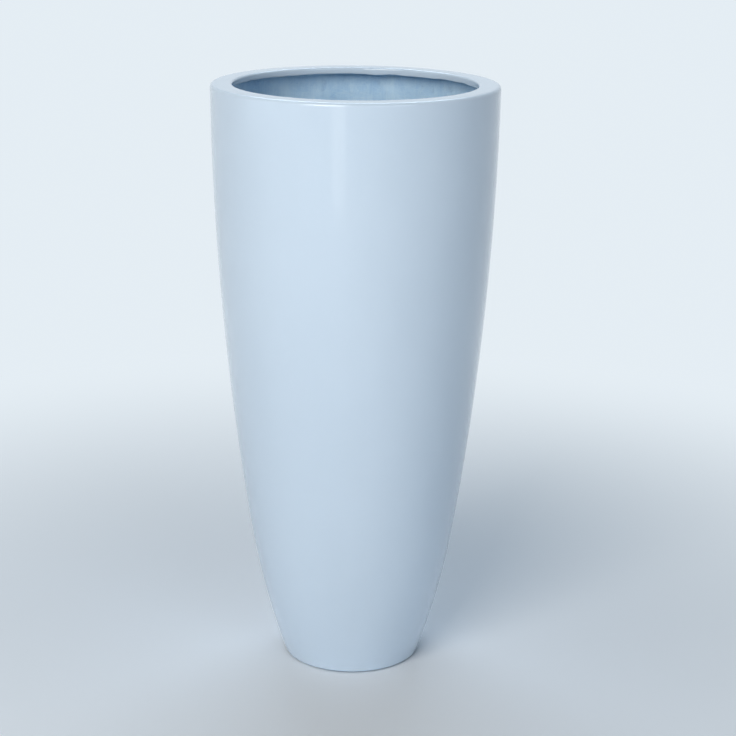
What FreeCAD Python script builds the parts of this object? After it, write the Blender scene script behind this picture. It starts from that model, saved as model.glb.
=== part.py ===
import FreeCAD, Part
import math
import os

import Sketcher

# Tall round floor planter of glass-reinforced plastic, 80 cm high and 38 cm across its lip.
#
# Frame: millimetres, +Z up, the planter's axis on Z, the floor it stands on at Z = 0.
# The shell's wall is two tangent arcs turned about Z: a very long one from the lip down,
# and a tighter one that draws the wall in to the foot.  Inside stand a bonded ledge and
# a lift-out planting insert of galvanised sheet, whose two wire handles hang in eyes.

DIMENSIONS = {
    # shell
    "height": 800.0,                   # floor to the top of the lip
    "rim_diameter": 380.0,
    "base_diameter": 188.0,            # across the foot, where the wall's curve ends
    "wall": 5.0,                       # laminate of the wall
    "long_arc_rise": 18.0,             # centre of the long arc above the lip
    "curve_change_height": 193.0,      # where the long arc passes into the lower one
    "foot_flare": 47.4,                # how far the wall has come out from the foot by then
    "lip_width": 29.0,
    "lip_thickness": 4.5,
    "lip_return": 9.0,                 # depth of the turned-down edge inside the mouth
    "lip_outer_round": 5.0,
    "lip_inner_round": 3.0,
    "foot_width": 34.0,                # turned-in foot, from the outside in
    "foot_thickness": 5.0,
    "foot_round": 2.0,
    # pads under the foot
    "pad_diameter": 22.0,
    "pad_thickness": 2.0,
    "pad_inset": 19.0,                 # pad's centre, in from the foot's outer edge
    # floor and its bung
    "plate_thickness": 9.0,
    "plate_gap": 1.0,
    "drain_diameter": 25.0,
    "bung_flange_diameter": 40.0,
    "bung_flange_thickness": 4.0,
    "bung_clearance": 0.08,
    "bung_stem": 10.0,
    "bung_tab_width": 20.0,
    "bung_tab_height": 15.0,
    "bung_tab_thickness": 5.0,
    "bung_tab_hole": 8.0,
    # ledge and its knees
    "ledge_height": 430.0,             # top of the ledge
    "ledge_thickness": 6.0,
    "ledge_opening": 220.0,
    "ledge_skirt": 32.0,
    "ledge_skirt_wall": 4.0,
    "ledge_notch": 30.0,               # width of the drip notches in the ledge's inner edge
    "bond_gap": 0.5,                   # bonding line between a laid-in piece and the wall
    "gusset_thickness": 8.0,
    "gusset_drop": 62.0,
    "gusset_reach": 40.0,
    "gusset_toe": 8.0,                 # blunt ends of the knee
    # planting insert
    "sheet": 1.2,
    "insert_height": 300.0,            # ledge to the top of the wired edge
    "insert_diameter": 302.0,          # inside
    "bead_wire": 4.6,
    "bead_slack": 0.12,                # air round the wire inside its rolled edge
    "seam_height": 9.0,                # turned-up edge of the floor pan
    "seam_gap": 0.1,
    "seep_hole": 10.0,
    "seep_circle": 120.0,
    # handles
    "handle_wire": 5.0,
    "handle_width": 90.0,              # between the wire's centre lines
    "handle_drop": 48.0,
    "handle_top_bend": 9.0,
    "handle_grip_bend": 19.0,
    "handle_below_edge": 34.0,         # swing axis below the top of the insert
    "handle_clearance": 1.0,           # hanging grip to the insert's wall
    "bracket_width": 26.0,
    "bracket_sheet": 2.0,
    "bracket_rise": 22.0,              # plate above the swing axis
    "bracket_gap": 0.1,
    "eye_clearance": 0.1,
    "rivet_shank": 5.0,
    "rivet_head": 9.0,
    "rivet_head_height": 2.0,
    "rivet_tail": 7.2,                 # across the closed end, outside the wall
    "rivet_stand": 0.6,                # closed end off the curved wall's outside
    "rivet_clearance": 0.05,
    "rivet_spacing": 14.0,
    "rivet_above_axis": 14.0,
}
COUNTS = {
    "pads": 4,
    "gussets": 4,
    "notches": 4,
    "seep_holes": 6,
    "pad_sides": 24,
    "wire_sides": 8,
    "bead_sides": 6,
    "rivet_sides": 12,
}

doc = FreeCAD.newDocument("planter")


# ---------------------------------------------------------------- driving sheet

def driving_sheet():
    """The sheet that every size below reads: one row a dimension, name and number."""
    sheet = doc.addObject("Spreadsheet::Sheet", "Dims")
    for row, (name, number) in enumerate(DIMENSIONS.items(), start=1):
        sheet.set("A%d" % row, name)
        sheet.set("B%d" % row, str(number))
        sheet.setAlias("B%d" % row, name)
    doc.recompute()
    return sheet


dims = driving_sheet()


def value(formula):
    """The number that a formula of the sheet's names gives."""
    return float(dims.evalExpression(formula))


def bind(thing, prop, formula):
    """Sets a size of an object from the sheet and keeps it tied."""
    thing.setExpression(prop, formula)


# ---------------------------------------------------------------- shared formulas

RIM = "(Dims.rim_diameter / 2)"
MOUTH = "(%s - Dims.lip_width)" % RIM
FOOT_BOTTOM = "Dims.pad_thickness"
FOOT_TOP = "(Dims.pad_thickness + Dims.foot_thickness)"
# the long arc passes through the lip's outer edge and the change of curve; its centre lies
# beyond the planter's axis
CHANGE_X = "(Dims.base_diameter / 2 + Dims.foot_flare)"
ARC_Z = "(Dims.height + Dims.long_arc_rise)"
ARC_X = ("((%s ^ 2 + Dims.long_arc_rise ^ 2 - %s ^ 2 - (%s - Dims.curve_change_height) ^ 2) / 2 / (%s - %s))"
         % (RIM, CHANGE_X, ARC_Z, RIM, CHANGE_X))
LONG_ARC = "sqrt((%s - %s) ^ 2 + Dims.long_arc_rise ^ 2)" % (RIM, ARC_X)
LIP_UNDER = "(Dims.height - Dims.lip_thickness)"


def wall_radius(height, inset):
    """Radius, at a height on the long arc, of the surface that lies inset inside the wall's outside."""
    return "(%s + sqrt((%s - %s) ^ 2 - (%s - %s) ^ 2))" % (ARC_X, LONG_ARC, inset, height, ARC_Z)


LEDGE_TOP = "Dims.ledge_height"
LEDGE_UNDER = "(Dims.ledge_height - Dims.ledge_thickness)"
LAID_IN = "(Dims.wall + Dims.bond_gap)"

# the insert: an upright wall, measured on the inside of its sheet
INSERT_R = "(Dims.insert_diameter / 2)"
INSERT_BOTTOM = "Dims.ledge_height"
INSERT_TOP = "(Dims.ledge_height + Dims.insert_height)"
INSERT_FLOOR = "(%s + Dims.sheet)" % INSERT_BOTTOM
BEAD_INNER = "(Dims.bead_wire / 2 + Dims.bead_slack)"
BEAD_OUTER = "(%s + Dims.sheet)" % BEAD_INNER
BEAD_X = "(%s + %s)" % (INSERT_R, BEAD_OUTER)
BEAD_Z = "(%s - %s)" % (INSERT_TOP, BEAD_OUTER)
# the handles: swing axis, and the bracket's plate on a chord of the insert's wall
HANDLE_Z = "(%s - Dims.handle_below_edge)" % INSERT_TOP
HANDLE_LOW = "(%s - Dims.handle_drop)" % HANDLE_Z
HANDLE_X = ("(sqrt(%s ^ 2 - (Dims.handle_width / 2) ^ 2) - Dims.handle_wire / 2 - Dims.handle_clearance)"
            % INSERT_R)
EYE_BORE = "(Dims.handle_wire / 2 + Dims.eye_clearance)"
EYE_OUTER = "(%s + Dims.bracket_sheet)" % EYE_BORE
PLATE_X = "(sqrt(%s ^ 2 - (Dims.bracket_width / 2) ^ 2) - Dims.bracket_gap)" % INSERT_R
RIVET_Z = "(%s + Dims.rivet_above_axis)" % HANDLE_Z
RIVET_HOLE = "(Dims.rivet_shank + 2 * Dims.rivet_clearance)"


# ---------------------------------------------------------------- sketch helpers

def origin_plane(body, role):
    return next(f for f in body.Origin.OriginFeatures if f.Role == role)


def new_body(label):
    body = doc.addObject("PartDesign::Body", label)
    body.Label = label
    return body


def new_sketch(body, name, plane="XZ_Plane"):
    sketch = body.newObject("Sketcher::SketchObject", name)
    sketch.AttachmentSupport = [(origin_plane(body, plane), "")]
    sketch.MapMode = "FlatFace"
    return sketch


def tie(sketch, kind, *args):
    """Adds a constraint of a size; the last argument is its formula."""
    formula = args[-1]
    index = sketch.addConstraint(Sketcher.Constraint(kind, *args[:-1], value(formula)))
    sketch.setExpression("Constraints[%d]" % index, formula)
    return index


def tie_point(sketch, geometry, end, x, z):
    """Fixes one end of a line or arc (or a centre, end 3) at two formulas from the origin."""
    tie(sketch, "DistanceX", -1, 1, geometry, end, x)
    tie(sketch, "DistanceY", -1, 1, geometry, end, z)


def add_arc(sketch, centre, start, stop):
    """An arc counter-clockwise from start to stop, all (x, z) numbers."""
    radius = math.dist(centre, start)
    angles = [math.atan2(p[1] - centre[1], p[0] - centre[0]) for p in (start, stop)]
    circle = Part.Circle(FreeCAD.Vector(centre[0], centre[1], 0), FreeCAD.Vector(0, 0, 1), radius)
    return sketch.addGeometry(Part.ArcOfCircle(circle, angles[0], angles[1]), False)


def add_line(sketch, start, stop):
    first = FreeCAD.Vector(start[0], start[1], 0)
    second = FreeCAD.Vector(stop[0], stop[1], 0)
    return sketch.addGeometry(Part.LineSegment(first, second), False)


def add_circle(sketch, x, z, diameter):
    circle = Part.Circle(FreeCAD.Vector(value(x), value(z), 0), FreeCAD.Vector(0, 0, 1),
                         value(diameter) / 2)
    geometry = sketch.addGeometry(circle, False)
    tie_point(sketch, geometry, 3, x, z)
    tie(sketch, "Diameter", geometry, diameter)
    return geometry


def add_outline(sketch, corners):
    """A closed outline of straight edges through (x, z) formulas, each corner tied to the sheet."""
    points = [(value(x), value(z)) for x, z in corners]
    count = len(corners)
    lines = [add_line(sketch, points[i], points[(i + 1) % count]) for i in range(count)]
    for i, line in enumerate(lines):
        sketch.addConstraint(Sketcher.Constraint("Coincident", line, 2, lines[(i + 1) % count], 1))
        tie_point(sketch, line, 1, *corners[i])
    return lines


def add_polygon(sketch, x, z, radius, sides):
    """A closed polygon with its corners on a circle, the first at the right of its centre."""
    corners = []
    for number in range(sides):
        angle = 360.0 * number / sides
        across = "%s + %s * cos(%.4f)" % (x, radius, angle)
        up = "%s + %s * sin(%.4f)" % (z, radius, angle)
        corners.append((across, up))
    return add_outline(sketch, corners)


def join(sketch, first, first_end, second, second_end):
    sketch.addConstraint(Sketcher.Constraint("Coincident", first, first_end, second, second_end))


# ---------------------------------------------------------------- feature helpers

def revolve(body, sketch, name="Turned"):
    feature = body.newObject("PartDesign::Revolution", name)
    feature.Profile = sketch
    feature.ReferenceAxis = (sketch, ["V_Axis"])
    feature.Angle = 360
    doc.recompute()
    return feature


def pad(body, sketch, length, name="Pad", symmetric=True):
    feature = body.newObject("PartDesign::Pad", name)
    feature.Profile = sketch
    feature.SideType = "Symmetric" if symmetric else "One side"
    feature.Length = value(length)
    bind(feature, "Length", length)
    doc.recompute()
    return feature


def pocket_through(body, sketch, name="Pocket"):
    """Cuts the sketch's shape right through the solid, both ways from its plane."""
    before = body.Shape.Volume
    feature = body.newObject("PartDesign::Pocket", name)
    feature.Profile = sketch
    feature.Type = "ThroughAll"
    feature.SideType = "Symmetric"
    doc.recompute()
    if not feature.Shape.Volume < before:
        raise RuntimeError("%s %s cuts nothing" % (body.Label, name))
    return feature


def polar(body, feature, count, name="Round"):
    pattern = body.newObject("PartDesign::PolarPattern", name)
    pattern.Originals = [feature]
    pattern.Axis = (origin_plane(body, "Z_Axis"), [""])
    pattern.Angle = 360
    pattern.Occurrences = count
    body.Tip = pattern
    doc.recompute()
    return pattern


# ---------------------------------------------------------------- shell

def lower_arc_centre():
    """Centre of the lower arc: tangent to the long arc, and through the foot's outer edge."""
    centre = (value(ARC_X), value(ARC_Z))
    change = (value(CHANGE_X), value("Dims.curve_change_height"))
    foot = (value("Dims.base_diameter / 2"), value(FOOT_BOTTOM))
    long_arc = math.dist(centre, change)
    inward = ((centre[0] - change[0]) / long_arc, (centre[1] - change[1]) / long_arc)
    chord = (change[0] - foot[0], change[1] - foot[1])
    radius = -(chord[0] ** 2 + chord[1] ** 2) / (2 * (inward[0] * chord[0] + inward[1] * chord[1]))
    return (change[0] + radius * inward[0], change[1] + radius * inward[1]), radius


def on_arc(centre, radius, height):
    """The point right of the centre where an arc passes a height."""
    return centre[0] + math.sqrt(radius ** 2 - (height - centre[1]) ** 2), height


def toward(centre, point, radius):
    """The point at a radius from the centre, on the line through another point."""
    share = radius / math.dist(centre, point)
    return tuple(middle + (there - middle) * share for middle, there in zip(centre, point))


def make_shell():
    """Wall of two tangent arcs, broad rounded lip with a turned-down edge, turned-in foot, in one section."""
    body = new_body("shell")
    sketch = new_sketch(body, "Section")
    foot_in = "(Dims.base_diameter / 2 - Dims.foot_width)"
    lip_end = "(Dims.height - Dims.lip_return)"
    return_back = "(%s + Dims.lip_thickness)" % MOUTH
    foot_edge_point = ("Dims.base_diameter / 2", FOOT_BOTTOM)

    # where everything lies, for the solver to start from
    upper_centre = (value(ARC_X), value(ARC_Z))
    upper_radius = value(LONG_ARC)
    lower_centre, lower_radius = lower_arc_centre()
    wall, foot_round, lip_round, inner_round = [
        value("Dims." + name) for name in ("wall", "foot_round", "lip_outer_round", "lip_inner_round")]
    top, under, end = value("Dims.height"), value(LIP_UNDER), value(lip_end)
    mouth, back = value(MOUTH), value(return_back)
    bottom, inside_bottom, foot_in_x = value(FOOT_BOTTOM), value(FOOT_TOP), value(foot_in)
    foot_middle = on_arc(lower_centre, lower_radius - foot_round, bottom + foot_round)
    foot_touch = toward(lower_centre, foot_middle, lower_radius)
    lip_middle = on_arc(upper_centre, upper_radius - lip_round, top - lip_round)
    lip_touch = toward(upper_centre, lip_middle, upper_radius)
    change_out = (value(CHANGE_X), value("Dims.curve_change_height"))
    change_in = toward(upper_centre, change_out, upper_radius - wall)
    shoulder = on_arc(upper_centre, upper_radius - wall, under)
    heel = on_arc(lower_centre, lower_radius - wall, inside_bottom)
    inner_middle = (mouth + inner_round, top - inner_round)

    foot_face = add_line(sketch, (foot_in_x, bottom), (foot_middle[0], bottom))
    foot_corner = add_arc(sketch, foot_middle, (foot_middle[0], bottom), foot_touch)
    outer_low = add_arc(sketch, lower_centre, foot_touch, change_out)
    outer_high = add_arc(sketch, upper_centre, change_out, lip_touch)
    lip_corner = add_arc(sketch, lip_middle, lip_touch, (lip_middle[0], top))
    lip_top = add_line(sketch, (lip_middle[0], top), (inner_middle[0], top))
    mouth_corner = add_arc(sketch, inner_middle, (inner_middle[0], top), (mouth, inner_middle[1]))
    return_face = add_line(sketch, (mouth, inner_middle[1]), (mouth, end))
    return_edge = add_line(sketch, (mouth, end), (back, end))
    return_inside = add_line(sketch, (back, end), (back, under))
    lip_inside = add_line(sketch, (back, under), shoulder)
    inner_high = add_arc(sketch, upper_centre, change_in, shoulder)
    inner_low = add_arc(sketch, lower_centre, heel, change_in)
    foot_inside = add_line(sketch, heel, (foot_in_x, inside_bottom))
    foot_edge = add_line(sketch, (foot_in_x, inside_bottom), (foot_in_x, bottom))

    # outside, foot to mouth: each stretch runs smoothly into the next
    run = [foot_face, foot_corner, outer_low, outer_high, lip_corner, lip_top, mouth_corner, return_face]
    for first, second in zip(run, run[1:]):
        sketch.addConstraint(Sketcher.Constraint("Tangent", first, 2, second, 1))
    tie_point(sketch, outer_high, 3, ARC_X, ARC_Z)
    tie(sketch, "Radius", outer_high, LONG_ARC)
    tie(sketch, "DistanceY", -1, 1, outer_high, 1, "Dims.curve_change_height")
    sharp_foot = sketch.addGeometry(
        Part.Point(FreeCAD.Vector(value(foot_edge_point[0]), value(foot_edge_point[1]), 0)), True)
    tie_point(sketch, sharp_foot, 1, *foot_edge_point)
    sketch.addConstraint(Sketcher.Constraint("PointOnObject", sharp_foot, 1, outer_low))
    for corner, size in ((foot_corner, "foot_round"), (lip_corner, "lip_outer_round"),
                         (mouth_corner, "lip_inner_round")):
        tie(sketch, "Radius", corner, "Dims." + size)
    for level in (foot_face, lip_top):
        sketch.addConstraint(Sketcher.Constraint("Horizontal", level))
    sketch.addConstraint(Sketcher.Constraint("Vertical", return_face))
    tie(sketch, "DistanceY", -1, 1, lip_top, 1, "Dims.height")
    # inside: the same two centres, one wall further in
    join(sketch, inner_high, 3, outer_high, 3)
    tie(sketch, "Radius", inner_high, "%s - Dims.wall" % LONG_ARC)
    join(sketch, inner_low, 3, outer_low, 3)
    sketch.addConstraint(Sketcher.Constraint("Tangent", inner_low, 2, inner_high, 1))
    tie(sketch, "DistanceY", -1, 1, inner_high, 2, LIP_UNDER)
    tie(sketch, "DistanceY", -1, 1, inner_low, 1, FOOT_TOP)
    # square corners of the lip's return and of the foot
    for first, end_point, second, start_point in (
            (return_face, 2, return_edge, 1), (return_edge, 2, return_inside, 1),
            (return_inside, 2, lip_inside, 1), (lip_inside, 2, inner_high, 2), (inner_low, 1, foot_inside, 1),
            (foot_inside, 2, foot_edge, 1), (foot_edge, 2, foot_face, 1)):
        join(sketch, first, end_point, second, start_point)
    tie_point(sketch, return_edge, 1, MOUTH, lip_end)
    tie_point(sketch, return_inside, 1, return_back, lip_end)
    tie_point(sketch, lip_inside, 1, return_back, LIP_UNDER)
    tie_point(sketch, foot_edge, 1, foot_in, FOOT_TOP)
    tie_point(sketch, foot_face, 1, foot_in, FOOT_BOTTOM)
    revolve(body, sketch)
    return [body]


def make_pads():
    """Thin pads stuck under the foot, cut round with a many-sided edge."""
    made = []
    reach = "(Dims.base_diameter / 2 - Dims.pad_inset)"
    for number in range(COUNTS["pads"]):
        body = new_body("foot_pad_%d" % (number + 1))
        sketch = new_sketch(body, "Edge", "XY_Plane")
        add_polygon(sketch, "0", "0", "Dims.pad_diameter / 2", COUNTS["pad_sides"])
        pad(body, sketch, "Dims.pad_thickness", symmetric=False)
        angle = 360.0 * (number + 0.5) / COUNTS["pads"]
        bind(body, "Placement.Base.x", "%s * cos(%.4f)" % (reach, angle))
        bind(body, "Placement.Base.y", "%s * sin(%.4f)" % (reach, angle))
        made.append(body)
    return made


# ---------------------------------------------------------------- floor and bung

PLATE_RADIUS = "(Dims.base_diameter / 2 - Dims.wall - Dims.plate_gap)"
PLATE_TOP = "(%s + Dims.plate_thickness)" % FOOT_TOP


def make_base_plate():
    """Round floor on the turned-in foot, with the drain through its middle."""
    body = new_body("base_plate")
    sketch = new_sketch(body, "Section")
    add_outline(sketch, [
        ("Dims.drain_diameter / 2", FOOT_TOP),
        (PLATE_RADIUS, FOOT_TOP),
        (PLATE_RADIUS, PLATE_TOP),
        ("Dims.drain_diameter / 2", PLATE_TOP),
    ])
    revolve(body, sketch)
    return [body]


def make_bung():
    """Rubber stopper: flange over the drain's edge, stem down the drain, eyed tab to pull it by."""
    body = new_body("drain_bung")
    sketch = new_sketch(body, "Section")
    stem = "(Dims.drain_diameter / 2 - Dims.bung_clearance)"
    flange = "(Dims.bung_flange_diameter / 2)"
    top = "(%s + Dims.bung_flange_thickness)" % PLATE_TOP
    tab_foot = "(%s - Dims.bung_flange_thickness / 2)" % top
    add_outline(sketch, [
        ("0", "%s - Dims.bung_stem" % PLATE_TOP),
        (stem, "%s - Dims.bung_stem" % PLATE_TOP),
        (stem, PLATE_TOP),
        (flange, PLATE_TOP),
        (flange, top),
        ("0", top),
    ])
    revolve(body, sketch)
    tab = new_sketch(body, "Tab")
    half = value("Dims.bung_tab_width / 2")
    base = value(tab_foot)
    crown_z = "(%s + Dims.bung_tab_height - Dims.bung_tab_width / 2)" % top
    crown = value(crown_z)
    low = add_line(tab, (-half, base), (half, base))
    right = add_line(tab, (half, base), (half, crown))
    crown_arc = add_arc(tab, (0, crown), (half, crown), (-half, crown))
    left = add_line(tab, (-half, crown), (-half, base))
    join(tab, low, 2, right, 1)
    join(tab, right, 2, crown_arc, 1)
    join(tab, crown_arc, 2, left, 1)
    join(tab, left, 2, low, 1)
    tie_point(tab, low, 1, "-Dims.bung_tab_width / 2", tab_foot)
    tie_point(tab, right, 1, "Dims.bung_tab_width / 2", tab_foot)
    tie_point(tab, crown_arc, 3, "0", crown_z)
    tie(tab, "Radius", crown_arc, "Dims.bung_tab_width / 2")
    tie(tab, "DistanceY", -1, 1, crown_arc, 1, crown_z)
    tie(tab, "DistanceY", -1, 1, crown_arc, 2, crown_z)
    pad(body, tab, "Dims.bung_tab_thickness", "TabPad")
    hole = new_sketch(body, "TabHole")
    add_circle(hole, "0", crown_z, "Dims.bung_tab_hole")
    pocket_through(body, hole, "Eye")
    return [body]


# ---------------------------------------------------------------- ledge and knees

SKIRT_Z = "(%s - Dims.ledge_skirt)" % LEDGE_TOP
SKIRT_IN = "(%s - Dims.ledge_skirt_wall)" % wall_radius(SKIRT_Z, LAID_IN)


def make_ledge():
    """Ring laid into the wall: flat shelf, and a skirt that follows the wall's inside."""
    body = new_body("ledge")
    sketch = new_sketch(body, "Section")
    add_outline(sketch, [
        ("Dims.ledge_opening / 2", LEDGE_TOP),
        ("Dims.ledge_opening / 2", LEDGE_UNDER),
        (SKIRT_IN, LEDGE_UNDER),
        (SKIRT_IN, SKIRT_Z),
        (wall_radius(SKIRT_Z, LAID_IN), SKIRT_Z),
        (wall_radius(LEDGE_TOP, LAID_IN), LEDGE_TOP),
    ])
    revolve(body, sketch)
    notch = new_sketch(body, "Notch", "XY_Plane")
    add_circle(notch, "Dims.ledge_opening / 2", "0", "Dims.ledge_notch")
    cut = pocket_through(body, notch, "NotchCut")
    polar(body, cut, COUNTS["notches"], "Notches")
    return [body]


def make_gussets():
    """Laminated knees between the wall and the underside of the ledge, inside its skirt."""
    made = []
    top_x = "(%s - Dims.bond_gap)" % SKIRT_IN
    foot_z = "(%s - Dims.gusset_drop)" % LEDGE_UNDER
    knee_z = "(%s - Dims.bond_gap)" % SKIRT_Z
    corners = [
        (top_x, LEDGE_UNDER),
        ("%s - Dims.gusset_reach" % top_x, LEDGE_UNDER),
        ("%s - Dims.gusset_reach" % top_x, "%s - Dims.gusset_toe" % LEDGE_UNDER),
        ("%s - Dims.gusset_toe" % wall_radius(foot_z, LAID_IN), foot_z),
        (wall_radius(foot_z, LAID_IN), foot_z),
        (wall_radius(knee_z, LAID_IN), knee_z),
        (top_x, knee_z),
    ]
    for number in range(COUNTS["gussets"]):
        body = new_body("ledge_gusset_%d" % (number + 1))
        sketch = new_sketch(body, "Side")
        add_outline(sketch, corners)
        pad(body, sketch, "Dims.gusset_thickness")
        turn = 360.0 * (number + 0.5) / COUNTS["gussets"]
        body.Placement = FreeCAD.Placement(FreeCAD.Vector(), FreeCAD.Rotation(FreeCAD.Vector(0, 0, 1), turn))
        made.append(body)
    return made


# ---------------------------------------------------------------- planting insert

def bead_corners(radius):
    """Corners of the rolled edge on one face of its sheet, from the wall over the top and down."""
    step = 360.0 / COUNTS["bead_sides"]
    folds = COUNTS["bead_sides"] - 2
    corners = []
    for number in range(folds + 1):
        angle = 180.0 - step * number
        corners.append(("%s + %s * cos(%.4f)" % (BEAD_X, radius, angle),
                        "%s + %s * sin(%.4f)" % (BEAD_Z, radius, angle)))
    return corners


def make_insert_wall():
    """Upright sheet wall whose top edge is folded outwards round a wire, open where the fold ends."""
    body = new_body("insert_wall")
    sketch = new_sketch(body, "Section")
    corners = [(INSERT_R, INSERT_FLOOR)]
    corners += bead_corners(BEAD_OUTER)
    corners += reversed(bead_corners(BEAD_INNER))
    corners += [("%s + Dims.sheet" % INSERT_R, INSERT_FLOOR)]
    add_outline(sketch, corners)
    revolve(body, sketch)
    holes = new_sketch(body, "RivetHoles", "YZ_Plane")
    add_circle(holes, "Dims.rivet_spacing / 2", RIVET_Z, RIVET_HOLE)
    add_circle(holes, "-Dims.rivet_spacing / 2", RIVET_Z, RIVET_HOLE)
    pocket_through(body, holes, "RivetHolesCut")
    return [body]


def make_bead_wire():
    """The wire that the insert's top edge is rolled round."""
    body = new_body("insert_bead_wire")
    sketch = new_sketch(body, "Section")
    add_polygon(sketch, BEAD_X, BEAD_Z, "Dims.bead_wire / 2", COUNTS["bead_sides"])
    revolve(body, sketch)
    return [body]


def make_insert_floor():
    """Floor pan: turned-up edge outside the wall, a middle hole and a ring of seep holes."""
    body = new_body("insert_floor")
    sketch = new_sketch(body, "Section")
    edge_in = "(%s + Dims.sheet + Dims.seam_gap)" % INSERT_R
    seam_top = "(%s + Dims.seam_height)" % INSERT_FLOOR
    add_outline(sketch, [
        ("Dims.seep_hole / 2", INSERT_BOTTOM),
        ("%s + Dims.sheet" % edge_in, INSERT_BOTTOM),
        ("%s + Dims.sheet" % edge_in, seam_top),
        (edge_in, seam_top),
        (edge_in, INSERT_FLOOR),
        ("Dims.seep_hole / 2", INSERT_FLOOR),
    ])
    revolve(body, sketch)
    hole = new_sketch(body, "SeepHole", "XY_Plane")
    add_circle(hole, "Dims.seep_circle / 2", "0", "Dims.seep_hole")
    cut = pocket_through(body, hole, "SeepHoleCut")
    polar(body, cut, COUNTS["seep_holes"], "SeepHoles")
    return [body]


# ---------------------------------------------------------------- handles

def turn_about_axis(body, number):
    """The first of a pair stands at +X, the second opposite it."""
    turn = FreeCAD.Rotation(FreeCAD.Vector(0, 0, 1), 180.0 * (number - 1))
    body.Placement = FreeCAD.Placement(FreeCAD.Vector(), turn)


def make_brackets():
    """Plate on the insert's wall, folded inwards at its foot into a rolled eye for the handle."""
    made = []
    web_top = "(%s + %s)" % (HANDLE_Z, EYE_OUTER)
    web_under = "(%s + %s)" % (HANDLE_Z, EYE_BORE)
    for number in (1, 2):
        body = new_body("handle_bracket_%d" % number)
        side = new_sketch(body, "Side")
        add_outline(side, [
            (PLATE_X, web_under),
            (PLATE_X, "%s + Dims.bracket_rise" % HANDLE_Z),
            ("%s - Dims.bracket_sheet" % PLATE_X, "%s + Dims.bracket_rise" % HANDLE_Z),
            ("%s - Dims.bracket_sheet" % PLATE_X, web_top),
            (HANDLE_X, web_top),
            (HANDLE_X, web_under),
        ])
        pad(body, side, "Dims.bracket_width", "Plate")
        eye = new_sketch(body, "Eye")
        add_circle(eye, HANDLE_X, HANDLE_Z, "2 * %s" % EYE_OUTER)
        pad(body, eye, "Dims.bracket_width", "EyeRoll")
        bore = new_sketch(body, "Bore")
        add_circle(bore, HANDLE_X, HANDLE_Z, "2 * %s" % EYE_BORE)
        pocket_through(body, bore, "EyeBore")
        holes = new_sketch(body, "RivetHoles", "YZ_Plane")
        add_circle(holes, "Dims.rivet_spacing / 2", RIVET_Z, RIVET_HOLE)
        add_circle(holes, "-Dims.rivet_spacing / 2", RIVET_Z, RIVET_HOLE)
        pocket_through(body, holes, "RivetHolesCut")
        turn_about_axis(body, number)
        made.append(body)
    return made


def make_rivets():
    """Two rivets a bracket, each through plate and wall, headed on both sides."""
    made = []
    plate_in = "(%s - Dims.bracket_sheet)" % PLATE_X
    wall_out = "(%s + Dims.sheet + Dims.rivet_stand)" % INSERT_R
    stages = [
        ("Head", "%s - Dims.rivet_head_height" % plate_in, plate_in, "Dims.rivet_head / 2"),
        ("Shank", plate_in, wall_out, "Dims.rivet_shank / 2"),
        ("Tail", wall_out, "%s + Dims.rivet_head_height" % wall_out, "Dims.rivet_tail / 2"),
    ]
    for number in (1, 2):
        pair = []
        for side in (1, -1):
            name = "Rivet%d%s" % (number, "Left" if side == 1 else "Right")
            body = doc.addObject("PartDesign::Body", name)
            for stage, start, stop, radius in stages:
                outline = new_sketch(body, name + stage, "YZ_Plane")
                across = "%s * Dims.rivet_spacing / 2" % side
                add_polygon(outline, across, RIVET_Z, radius, COUNTS["rivet_sides"])
                bind(outline, "AttachmentOffset.Base.z", start)
                pad(body, outline, "(%s) - (%s)" % (stop, start), name + stage + "Pad", symmetric=False)
            turn_about_axis(body, number)
            pair.append(body)
        group = doc.addObject("Part::Compound", "bracket_rivets_%d" % number)
        group.Label = "bracket_rivets_%d" % number
        group.Links = pair
        made.append(group)
    doc.recompute()
    return made


def wire_section(name, y, z, run):
    """Many-sided section of the wire, square to its run, which is "across" or "down"."""
    section = doc.addObject("Part::RegularPolygon", name)
    section.Polygon = COUNTS["wire_sides"]
    bind(section, "Circumradius", "Dims.handle_wire / 2")
    lie_across = FreeCAD.Rotation(FreeCAD.Vector(1, 0, 0), 90.0 if run == "across" else 0.0)
    flats_aside = FreeCAD.Rotation(FreeCAD.Vector(0, 0, 1), 180.0 / COUNTS["wire_sides"])
    section.Placement.Rotation = lie_across * flats_aside
    bind(section, "Placement.Base.y", y)
    bind(section, "Placement.Base.z", z)
    return section


def wire_straight(name, section, direction, length):
    """A straight length of the wire from a section."""
    straight = doc.addObject("Part::Extrusion", name)
    straight.Base = section
    straight.DirMode = "Custom"
    straight.Dir = direction
    straight.Solid = True
    bind(straight, "LengthFwd", length)
    return straight


def wire_bend(name, section, y, z, turn):
    """A quarter bend of the wire from a section, turned about a centre in the handle's plane."""
    bend = doc.addObject("Part::Revolution", name)
    bend.Source = section
    bend.Axis = FreeCAD.Vector(1, 0, 0)
    bend.Angle = turn
    bend.Solid = True
    bind(bend, "Base.y", y)
    bind(bend, "Base.z", z)
    return bend


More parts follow.
